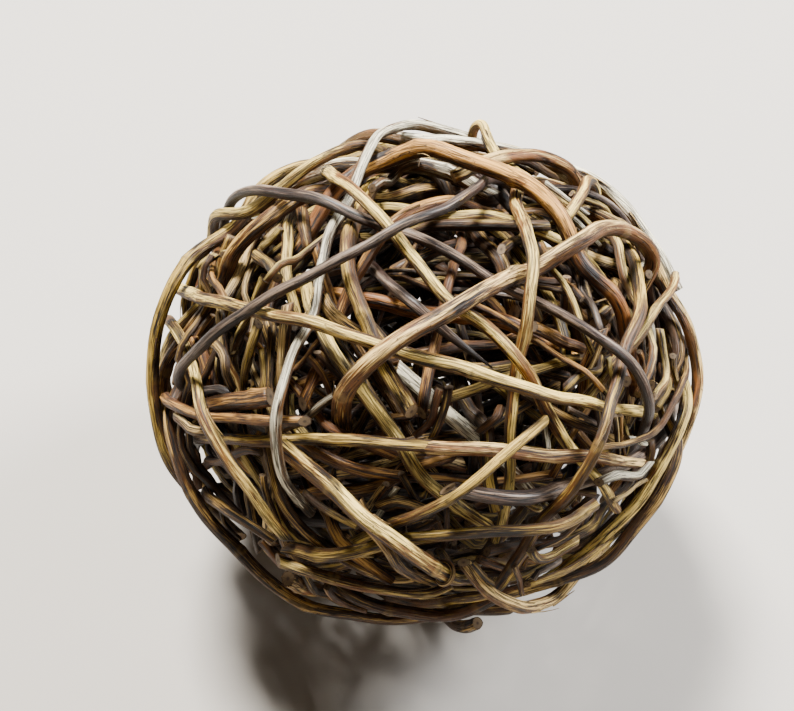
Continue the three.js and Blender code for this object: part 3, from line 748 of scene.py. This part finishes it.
# The short twigs and cut ends that show through the face: bark, thickness and the depths of both ends in
# millimetres, and the places that each one passes on the dial.
SHOWN_TWIGS = [
    ("olive", 3.1, 6, 7, [(-62, 41), (-51, 33)]),
    ("brown", 3.2, 7, 8, [(-45, 57), (-43, 44)]),
    ("straw", 2.0, 7, 7, [(-57, 28), (-46, 38), (-34, 51)]),
    ("straw", 2.0, 8, 8, [(-60, 43), (-51, 50)]),
    ("grey", 2.4, 5, 6, [(-62, 53), (-55, 56)]),
    ("straw", 2.2, 3, 4, [(-82, 35), (-76, 41)]),
    ("straw", 2.2, 6, 7, [(-71, 39), (-68, 48)]),
    ("grey", 2.8, 3, 6, [(-5, 78), (-12, 76), (-21, 65)]),
    ("brown", 3.4, 9, 9, [(-39, 23), (-32, 19), (-18, 10)]),
    ("olive", 2.6, 6, 7, [(38, 57), (46, 52)]),
    ("grey", 1.8, 4, 4, [(43, 69), (50, 64), (58, 58)]),
    ("straw", 1.8, 5, 5, [(45, 65), (53, 60), (61, 53)]),
    ("straw", 1.8, 3, 4, [(52, 66), (58, 63), (68, 55)]),
    ("grey", 1.6, 6, 6, [(47, 61), (55, 55), (63, 47)]),
    ("brown", 2.6, 2, 3, [(29, 79), (38, 76), (48, 73)]),
    ("grey", 2.4, 2, 3, [(37, 80), (46, 75), (55, 71)]),
    ("tan", 2.6, 3, 4, [(60, 64), (65, 60), (70, 55)]),
    ("straw", 2.2, 2, 2, [(68, 65), (72, 59), (76, 52)]),
    ("straw", 1.7, 6, 6, [(45, 39), (50, 34), (57, 18), (62, 8)]),
    ("plum", 1.9, 7, 7, [(56, 44), (60, 29), (63, 14)]),
    ("straw", 1.6, 7, 7, [(66, 7), (68, -4)]),
    ("grey", 2.2, 3, 4, [(78, 38), (89, 42)]),
    ("straw", 2.8, 4, 5, [(83, 25), (88, 21), (92, 15)]),
    ("grey", 1.7, 5, 5, [(83, 37), (84, 32), (85, 27)]),
    ("grey", 1.7, 5, 6, [(81, 20), (83, 13), (81, 4)]),
    ("straw", 2.0, 4, 5, [(85, 18), (87, 8), (87, -0), (82, -9)]),
    ("tan", 1.9, 4, 5, [(89, 8), (91, -0), (89, -9)]),
    ("russet", 1.6, 5, 6, [(77, 10), (79, 4), (80, -3)]),
    ("tan", 3.0, 5, 6, [(86, -2), (90, -8)]),
    ("olive", 2.6, 8, 8, [(51, -6), (58, -0), (66, 5)]),
    ("olive", 2.4, 9, 9, [(63, 20), (68, 25)]),
    ("russet", 3.1, 8, 9, [(-82, 9), (-79, -1), (-77, -9)]),
    ("straw", 1.7, 8, 9, [(-74, 3), (-74, -9)]),
    ("brown", 2.6, 7, 8, [(-76, 9), (-71, 2), (-67, -8)]),
    ("olive", 2.7, 6, 7, [(-60, 16), (-63, 1), (-67, -16)]),
    ("olive", 2.2, 9, 9, [(-59, 7), (-57, -6), (-58, -20)]),
    ("brown", 2.2, 9, 9, [(-55, 15), (-55, -0), (-52, -17)]),
    ("olive", 2.2, 10, 10, [(-64, -8), (-57, -21)]),
    ("plum", 2.8, 7, 6, [(-79, -9), (-67, -15), (-54, -23)]),
    ("tan", 2.8, 4, 5, [(-87, -17), (-83, -20), (-78, -24)]),
    ("russet", 2.0, 9, 9, [(-41, 4), (-36, -3), (-32, -11)]),
    ("brown", 1.6, 10, 10, [(-41, -6), (-34, -11)]),
    ("grey", 2.5, 8, 8, [(-49, -23), (-39, -17), (-30, -12)]),
    ("brown", 3.0, 9, 10, [(-22, 19), (-18, 14), (-13, 8)]),
    ("russet", 2.4, 5, 6, [(-83, -37), (-71, -33), (-58, -27)]),
    ("olive", 3.0, 4, 3, [(-93, -8), (-90, -25), (-82, -47)]),
    ("brown", 2.9, 3, 2, [(-79, -46), (-66, -54), (-52, -63)]),
    ("russet", 1.8, 4, 3, [(-57, -63), (-49, -72)]),
    ("olive", 1.8, 7, 6, [(-44, -47), (-34, -52), (-22, -57)]),
    ("tan", 1.4, 4, 4, [(-45, -67), (-30, -67), (-16, -67)]),
    ("russet", 2.2, 3, 2, [(-33, -78), (-26, -83), (-18, -87)]),
    ("tan", 2.4, 2, 2, [(-14, -90), (3, -87), (21, -82)]),
    ("brown", 3.4, 9, 9, [(-13, -49), (-5, -47), (3, -50)]),
    ("tan", 2.0, 9, 8, [(-19, -51), (-12, -41)]),
    ("grey", 1.8, 10, 9, [(-15, -53), (-8, -42)]),
    ("russet", 2.2, 8, 9, [(7, -5), (2, -14), (-3, -24)]),
    ("olive", 2.3, 8, 9, [(9, -5), (7, -14), (4, -24)]),
    ("olive", 2.5, 10, 10, [(30, -14), (21, -22)]),
    ("grey", 1.9, 8, 8, [(45, -16), (46, -28)]),
    ("plum", 1.5, 7, 7, [(53, -12), (63, -17)]),
    ("tan", 1.4, 5, 5, [(69, -13), (71, -21), (72, -30)]),
    ("russet", 1.4, 5, 5, [(71, -13), (73, -21), (75, -30)]),
    ("grey", 1.7, 4, 4, [(74, -23), (82, -26)]),
    ("grey", 2.5, 3, 3, [(66, -42), (76, -35), (84, -28)]),
    ("tan", 1.5, 4, 4, [(68, -45), (81, -36)]),
    ("brown", 1.8, 4, 5, [(43, -63), (52, -58), (60, -50)]),
    ("straw", 2.4, 3, 3, [(40, -63), (43, -66), (46, -66), (58, -59)]),
    ("plum", 1.6, 4, 4, [(39, -72), (45, -70), (51, -67)]),
    ("russet", 2.0, 5, 5, [(37, -68), (45, -67)]),
    ("tan", 1.5, 2, 2, [(36, -69), (39, -79)]),
    ("russet", 2.2, 5, 4, [(22, -67), (31, -70)]),
    ("straw", 1.0, 7, 7, [(36, -44), (41, -47), (44, -48)]),
    ("straw", 0.9, 6, 6, [(39, -42), (43, -45), (46, -47)]),
    ("tan", 1.0, 7, 7, [(38, -47), (42, -49), (45, -49)]),
    ("brown", 1.5, 4, 3, [(20, -69), (22, -71), (24, -74), (26, -76)]),
    ("russet", 3.0, 8, 8, [(38, 17), (48, 14), (58, 9)]),
    ("brown", 2.0, 10, 10, [(-7, -36), (-1, -47), (2, -54)]),
    ("brown", 3.0, 12, 12, [(-85, -24), (-79, -33), (-72, -42)]),
    ("olive", 3.4, 15, 15, [(-79, -18), (-75, -28), (-68, -40)]),
    ("brown", 3.0, 13, 13, [(-82, -38), (-72, -30)]),
    ("brown", 3.4, 12, 12, [(44, -57), (54, -50), (63, -42)]),
    ("olive", 3.2, 15, 15, [(47, -43), (58, -53)]),
    ("russet", 3.4, 15, 15, [(38, -64), (51, -58), (63, -50)]),
    ("brown", 3.2, 14, 14, [(62, -33), (68, -42)]),
    ("olive", 3.0, 16, 16, [(52, -42), (64, -34), (72, -26)]),
]


def new_twig(bark, thickness, line, shown=False):
    """A twig as it is laid, its thickness in millimetres. One that has to show is held in its place."""
    return {"radius": thickness / 2 * MM, "bark": bark, "at": line, "shown": shown}


def lay_shown_twigs():
    laid = []
    for bark, thickness, near, far, stops in SHOWN_TWIGS:
        depths = np.linspace(near, far, len(stops)) + thickness / 2
        line = np.array([on_dial(u, v, depth * MM) for (u, v), depth in zip(stops, depths)])
        laid.append(new_twig(bark, thickness, smooth_line(line, 5 * MM), shown=True))
    return laid


FAR_DEPTHS = (6, 11, 16)  # of the layers across the far side, in millimetres
FAR_ROW, FAR_PITCH = 20, 6.6  # twigs in a layer, and how far apart they are on the dial
FAR_REACH, FAR_HALF = 74, 46  # how far a layer reaches on the dial, and the most that half a twig does
FAR_GAPS = [  # places on the dial where the far side needs two more twigs
    (-13, 41), (-7, 18.5), (23.5, -15), (-44, -3), (-44, -14), (-2, 23), (-25, 4), (20, -58), (8, -36),
]


def lay_far_twigs():
    """Three layers of twigs across the far side, close enough that little shows through the ball."""
    laid = []
    for layer, depth in enumerate(FAR_DEPTHS):
        for k in range(FAR_ROW):
            heading = math.radians(60 * layer + dice.uniform(-14, 14))
            aside = (k - (FAR_ROW - 1) / 2) * FAR_PITCH
            half = min(FAR_HALF, math.sqrt(FAR_REACH**2 - aside**2)) * dice.uniform(0.85, 1.0)
            slide = dice.uniform(-8, 8)
            line = []
            for share in np.linspace(-1, 1, 9):
                run = slide + share * half
                u = run * math.cos(heading) - aside * math.sin(heading)
                v = run * math.sin(heading) + aside * math.cos(heading)
                line.append(on_dial(u, v, depth * MM, far=True))
            bark = dice.choice(("brown", "russet", "olive", "tan", "brown"))
            laid.append(new_twig(bark, dice.choice((3.0, 3.6, 4.2)), even_line(np.array(line), LAID_STEP)))
    return laid


def lay_far_patches():
    """Two crossed twigs at each place where the layers of the far side leave a gap."""
    laid = []
    for u, v in FAR_GAPS:
        for turn, depth in ((dice.uniform(0.2, 1.2), 8), (dice.uniform(1.8, 2.8), 14)):
            x, y = 17 * math.cos(turn), 17 * math.sin(turn)
            shares = (-1, -0.5, 0, 0.5, 1)
            line = np.array([on_dial(u + x * s, v + y * s, depth * MM, far=True) for s in shares])
            line = even_line(line, LAID_STEP)
            laid.append(new_twig(dice.choice(("brown", "olive")), 4.2, line, shown=True))
    return laid


WEAVE_TWIGS = 70  # laid in the weave itself, away from the face
# Behind the weave: up to how many are laid, and how squarely they may face the eye.
BEHIND_TWIGS = [(270, 1.0), (390, -0.2), (520, -0.6)]


def lay_twigs():
    """The other twigs: some in the weave, more behind it, and more again on the far side."""
    laid = []
    while len(laid) < BEHIND_TWIGS[-1][0]:
        facing, heading = any_direction(), any_direction()
        seen = facing @ TO_EYE
        if len(laid) < WEAVE_TWIGS:
            if seen > 0.35:
                continue
            depth, sweep = dice.uniform(4, 12), dice.uniform(50, 120)
            thickness = dice.choice((2.0, 2.4, 2.8, 3.2))
            slope = dice.uniform(-6, 6)
        else:
            if seen > next(most for count, most in BEHIND_TWIGS if len(laid) < count):
                continue
            depth, sweep = dice.triangular(9, 30, 14) - (4 if seen < -0.2 else 0), dice.uniform(22, 75)
            thickness = dice.choice((1.6, 2.0, 2.4, 2.8, 3.2, 3.6, 4.0))
            slope = dice.uniform(-20, 20)
        line = arc(facing, heading, dice.uniform(-0.3, 0.3), sweep, depth * MM, slope * MM)
        bark = dice.choice(("olive", "brown", "brown", "russet", "plum", "olive", "tan", "straw", "russet"))
        laid.append(new_twig(bark, thickness, even_line(line, LAID_STEP)))
    return laid


def closest(p0, p1, q0, q1):
    """The nearest points of many pairs of stretches: shares along each, and the way between them."""
    d1, d2, r = p1 - p0, q1 - q0, p0 - q0
    a, e, b = (d1 * d1).sum(1), (d2 * d2).sum(1), (d1 * d2).sum(1)
    c, f = (d1 * r).sum(1), (d2 * r).sum(1)
    spread = a * e - b * b
    s = np.where(spread > 1e-18, np.clip((b * f - c * e) / np.maximum(spread, 1e-18), 0, 1), 0.5)
    t = np.clip((b * s + f) / e, 0, 1)
    s = np.clip((b * t - c) / a, 0, 1)
    return s, t, q0 + d2 * t[:, None] - p0 - d1 * s[:, None]


def near_pairs(low, high, owner, movable, reach):
    """Pairs of stretches that may touch. At least the first of each pair can move."""
    middles = (low + high) / 2
    tree = KDTree(len(middles))
    for i, p in enumerate(middles):
        tree.insert(p, i)
    tree.balance()
    pairs = []
    for i in range(movable):
        for _, j, _ in tree.find_range(middles[i], reach):
            if owner[i] != owner[j] and (j > i or j >= movable):
                pairs.append((i, j))
    return np.array(pairs).T


SETTLE_STEPS = 160
SPRING_STEPS = 130  # of these, the first ones in which a twig also springs back towards its place
SEARCH_EVERY = 25  # steps between two searches for near pairs
NEAR = 12.5 * MM
LEAST_GAP = 0.12 * MM
MOST_CLASH, MOST_SHOWN_CLASH = 0.9 * MM, 1.5 * MM  # twigs that still press in deeper than this are left out


def push_apart(place, p, q, least, both):
    """How far each point moves so that the stretches from p and from q lie clear of each other."""
    s, t, way = closest(place[p], place[p + 1], place[q], place[q + 1])
    apart = np.linalg.norm(way, axis=1)
    hit = apart < least
    p, q, s, t, way, apart, least, both = (x[hit] for x in (p, q, s, t, way, apart, least, both))
    straight = way / np.maximum(apart, 1e-7)[:, None]
    along_p, along_q = place[p + 1] - place[p], place[q + 1] - place[q]
    along_p, along_q = (d / np.linalg.norm(d, axis=1)[:, None] for d in (along_p, along_q))
    across = np.cross(along_p, along_q)
    sine = np.linalg.norm(across, axis=1)
    across = across / np.maximum(sine, 1e-7)[:, None]
    high = (way * across).sum(1)
    across = np.where(high < 0, -1, 1)[:, None] * across
    high = np.abs(high)
    crossing = sine > 0.4
    push = np.where(crossing[:, None], across, straight)
    lift = np.sqrt(np.maximum(least**2 - apart**2 + high**2, 0)) - high
    share = np.where(both > 0, 0.5, 1.0) * np.where(crossing, lift, least - apart)
    moves, weight = np.zeros_like(place), np.zeros(len(place))
    for ids, part in ((p, -(1 - s)), (p + 1, -s), (q, (1 - t) * both), (q + 1, t * both)):
        amount = push * (share * part)[:, None]
        for axis in range(3):
            moves[:, axis] += np.bincount(ids, amount[:, axis], len(place))
        weight += np.bincount(ids, np.abs(part), len(place))
    return 1.2 * moves / np.maximum(weight, 1)[:, None]


def settle(twigs):
    """Moves the twigs out of the main rods, out of each other, and out of the ball's empty middle."""
    fixed = [thread for threads in main_rods.values() for thread in threads]
    lines = [t["at"] for t in twigs] + [smooth_line(middles, LAID_STEP) for middles, _ in fixed]
    sizes = [t["radius"] for t in twigs] + [radii.mean() for _, radii in fixed]
    place = np.vstack(lines)
    home = place.copy()
    of = np.concatenate([[k] * len(line) for k, line in enumerate(lines)])
    radius = np.array(sizes)[of]
    free = sum(len(t["at"]) for t in twigs)
    first = np.nonzero(of[:-1] == of[1:])[0]
    movable = int((first < free).sum())
    inner = np.nonzero((of[:-2] == of[2:]) & (np.arange(len(of) - 2) + 2 < free))[0] + 1
    own = first[:movable]
    stretch = np.linalg.norm(place[own + 1] - place[own], axis=1)
    rest = (home[inner - 1] + home[inner + 1]) / 2 - home[inner]
    least_z = radius[:free] + 1 * MM
    shown = np.array([t["shown"] for t in twigs])[of[:free]][:, None]
    sight = home[:free] - MIDDLE - TO_EYE * EYE_REACH
    sight /= np.linalg.norm(sight, axis=1)[:, None]
    for step in range(SETTLE_STEPS):
        if step % SEARCH_EVERY == 0:
            i, j = near_pairs(place[first], place[first + 1], of[first], movable, NEAR)
            p, q = first[i], first[j]
            least = radius[p] + radius[q] + LEAST_GAP
            both = (j < movable).astype(float)
        place[:free] += push_apart(place, p, q, least, both)[:free]
        if step < SPRING_STEPS:
            bend = (place[inner - 1] + place[inner + 1]) / 2 - place[inner]
            place[inner] += 0.3 * (bend - rest)
            back = home[:free] - place[:free]
            aside = back - (back * sight).sum(1)[:, None] * sight
            place[:free] += np.where(shown, 0.2 * aside + 0.02 * back, 0.02 * back)
        way = place[own + 1] - place[own]
        fix = way * ((1 - stretch / np.linalg.norm(way, axis=1)) / 2)[:, None]
        place[own] += fix
        place[own + 1] -= fix
        out = np.linalg.norm((place[:free] - MIDDLE) / (HALF - radius[:free, None] - 2 * MM), axis=1)
        place[:free] = MIDDLE + (place[:free] - MIDDLE) / np.maximum(out, 1)[:, None]
        place[:free, 2] = np.maximum(place[:free, 2], least_z)
        keep_out_of_hollow(place, radius, free)
    way = closest(place[p], place[p + 1], place[q], place[q + 1])[2]
    deep = np.where(both > 0, 0.6, 1.0) * (radius[p] + radius[q] - np.linalg.norm(way, axis=1))
    kept = []
    for k, twig in enumerate(twigs):
        clash = deep[of[p] == k].max(initial=-1)
        if clash < (MOST_SHOWN_CLASH if twig["shown"] else MOST_CLASH):
            kept.append({**twig, "at": place[of == k]})
    return kept


def keep_out_of_hollow(place, radius, free):
    low, high = HOLLOW[0] - radius[:free, None], HOLLOW[1] + radius[:free, None]
    inside = ((place[:free] > low) & (place[:free] < high)).all(axis=1)
    for i in np.nonzero(inside)[0]:
        ways = np.concatenate([place[i] - low[i], high[i] - place[i]])
        k = ways.argmin()
        place[i, k % 3] += -ways[k] if k < 3 else ways[k]


def grow_twigs(twigs):
    """Grows the settled twigs and joins those of one bark in one piece."""
    by_bark = {}
    for number, twig in enumerate(twigs):
        dice = random.Random(1000 + number)
        step, sides = (TWIG_STEP, TWIG_SIDES) if twig["shown"] else (1.4 * TWIG_STEP, TWIG_SIDES - 2)
        line = wander(smooth_line(twig["at"], step), dice, 0.3 * MM)
        radius = twig["radius"] * np.linspace(1, dice.uniform(0.7, 0.95), len(line))
        # The twig's tone is painted darker the deeper it lies in the ball: painted shade
        tone = dice.uniform(0.30, 0.52) * painted_depth_shade(line)
        slants = (dice.uniform(0, 1), dice.uniform(0, 1))
        by_bark.setdefault(twig["bark"], []).append(grow_rod(line, radius, sides, tone, dice, 1.2, slants))
    for bark, meshes in sorted(by_bark.items()):
        piece = finished(f"fine_{bark}_twigs", meshes, [BARK[bark], CUT_WOOD])
        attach(piece, "root")


grow_twigs(settle(lay_shown_twigs() + lay_far_twigs() + lay_far_patches() + lay_twigs()))

# ---- Bent ends, and bark that has come loose ---------------------------------------------------


def lay(name, line, radius, bark, tone, dice):
    grown = grow_rod(line, radius, ROD_SIDES, tone, dice, 0.8, (0, 0.6))
    piece = finished(name, [grown], [BARK[bark], CUT_WOOD])
    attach(piece, "root")


def bend_crown_end():
    """The end of the rod that stands over the crown, bent over to the left and down behind it."""
    middles, radii = main_rods["crown_hook_rod"][0]
    if (middles[0] @ UP) < (middles[-1] @ UP):
        middles = middles[::-1]
    tip, radius = middles[0], radii.min() * 0.96
    back = unit(tip - middles[1])
    bend = [(-0.4, 1.7, -0.2), (-1.4, 2.6, -1.4), (-2.5, 2.2, -2.9), (-3.1, 0.8, -4.4), (-3.3, -1.2, -6.0)]
    stops = [tip - back * 1.5 * MM] + [tip + (x * RIGHT + y * UP + z * TO_EYE) * MM for x, y, z in bend]
    line = smooth_line(np.array(stops), 1 * MM)
    lay("crown_bend", line, np.full(len(line), radius), "straw", 0.62, random.Random(5))


def curl_round_rod():
    """A thin twig that comes from behind, goes once round a stout rod and stops."""
    middles, radii = main_rods["stout_straw_rod"][0]
    line = smooth_line(middles, 1 * MM)
    place = on_dial(12, -74, 3 * MM)
    at = int(np.linalg.norm(line - place, axis=1).argmin())
    at = min(max(at, 6), len(line) - 7)
    way = frames_along(line)[2]
    start = unit(TO_EYE - (TO_EYE @ way[at]) * way[at])
    other = np.cross(way[at], start)
    reach = radii.mean() + 0.75 * MM
    turns = []
    for k in range(23):
        angle = math.radians(-160 + k * 13)
        spoke = start * math.cos(angle) + other * math.sin(angle)
        turns.append(line[at] + way[at] * (k - 11) * 0.09 * MM + spoke * reach)
    tail = [turns[0] + (turns[0] - turns[3]) * 2.5 - TO_EYE * 3 * MM, turns[0] + (turns[0] - turns[2]) * 1.2]
    loop = smooth_line(np.array(tail + turns), 1 * MM)
    lay("curled_twig", loop, np.linspace(0.75, 0.5, len(loop)) * MM, "tan", 0.6, random.Random(8))


def peel_fibres(count):
    """Thin threads of bark that lift off the outer rods."""
    dice = random.Random(21)
    grown = []
    outer = [n for n in sorted(main_rods) if not n.startswith("inner") and not n.endswith("_twigs")]
    while len(grown) < count:
        middles, radii = main_rods[dice.choice(outer)][0]
        line = smooth_line(middles, 1 * MM)
        if len(line) < 24:
            continue
        length = dice.randint(5, 12)
        at = dice.randint(4, len(line) - length - 5)
        across, over, _ = frames_along(line)
        turn, twist = dice.uniform(0, 6.28), dice.uniform(-0.06, 0.06)
        lift = dice.uniform(0.3, 1.7) * MM
        run = []
        for k in range(length):
            share = k / (length - 1)
            angle = turn + twist * k
            out = math.cos(angle) * across[at + k] + math.sin(angle) * over[at + k]
            run.append(line[at + k] + out * (radii.mean() + lift * share**2))
        radius = np.linspace(dice.uniform(0.22, 0.42), 0.08, length) * MM
        grown.append(grow_rod(np.array(run), radius, 4, dice.uniform(0.45, 0.75), dice, 0.0))
    piece = finished("loose_bark", grown, [BARK["tan"], CUT_WOOD])
    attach(piece, "root")


bend_crown_end()
curl_round_rod()
peel_fibres(110)

# ---- Floor, light and camera ------------------------------------------------------------------


def make_floor():
    bm = bmesh.new()
    bmesh.ops.create_grid(bm, x_segments=1, y_segments=1, size=3.0)
    mesh = bpy.data.meshes.new("floor")
    bm.to_mesh(mesh)
    bm.free()
    floor = bpy.data.objects.new("floor", mesh)
    bpy.context.scene.collection.objects.link(floor)
    material, _, shader = bare_material("pale_floor")
    shader.inputs["Base Color"].default_value = (0.46, 0.43, 0.39, 1)
    shader.inputs["Roughness"].default_value = 0.8
    mesh.materials.append(material)


def lamp(name, at, size, watts, color):
    light = bpy.data.lights.new(name, "AREA")
    light.shape = "SQUARE"
    light.size = size
    light.energy = watts
    light.color = color
    body = bpy.data.objects.new(name, light)
    body.location = at
    body.rotation_mode = "QUATERNION"
    body.rotation_quaternion = (Vector((0, 0, 0.06)) - Vector(at)).to_track_quat("-Z", "Y")
    bpy.context.scene.collection.objects.link(body)


make_floor()
lamp("window", (-0.3, 0.6, 1.2), 0.36, 90, (1.0, 0.97, 0.92))
lamp("side", (0.9, 0.35, 0.8), 0.4, 44, (0.97, 0.98, 1.0))
lamp("front", (-0.4, -1.1, 0.7), 0.9, 2.0, (1.0, 0.82, 0.62))

world = bpy.data.worlds.new("room")
world.use_nodes = True
world.node_tree.nodes["Background"].inputs[0].default_value = (1.0, 0.88, 0.76, 1)
world.node_tree.nodes["Background"].inputs[1].default_value = 0.03
bpy.context.scene.world = world

SENSOR, LENS = 36, 52.0776  # the width of the picture and the lens's focal length, in millimetres
TURNED = (0.022636, 0.013495)  # slopes of the view to the left and up off the ball's middle
camera = bpy.data.cameras.new("camera")
camera.sensor_width = SENSOR
camera.lens = LENS
camera.clip_start = 0.01
eye = bpy.data.objects.new("camera", camera)
bpy.context.scene.collection.objects.link(eye)
eye.location = MIDDLE + TO_EYE * EYE_REACH
aim = Vector(-TO_EYE - RIGHT * TURNED[0] + UP * TURNED[1])
eye.rotation_mode = "QUATERNION"
eye.rotation_quaternion = aim.to_track_quat("-Z", "Y")
bpy.context.scene.camera = eye
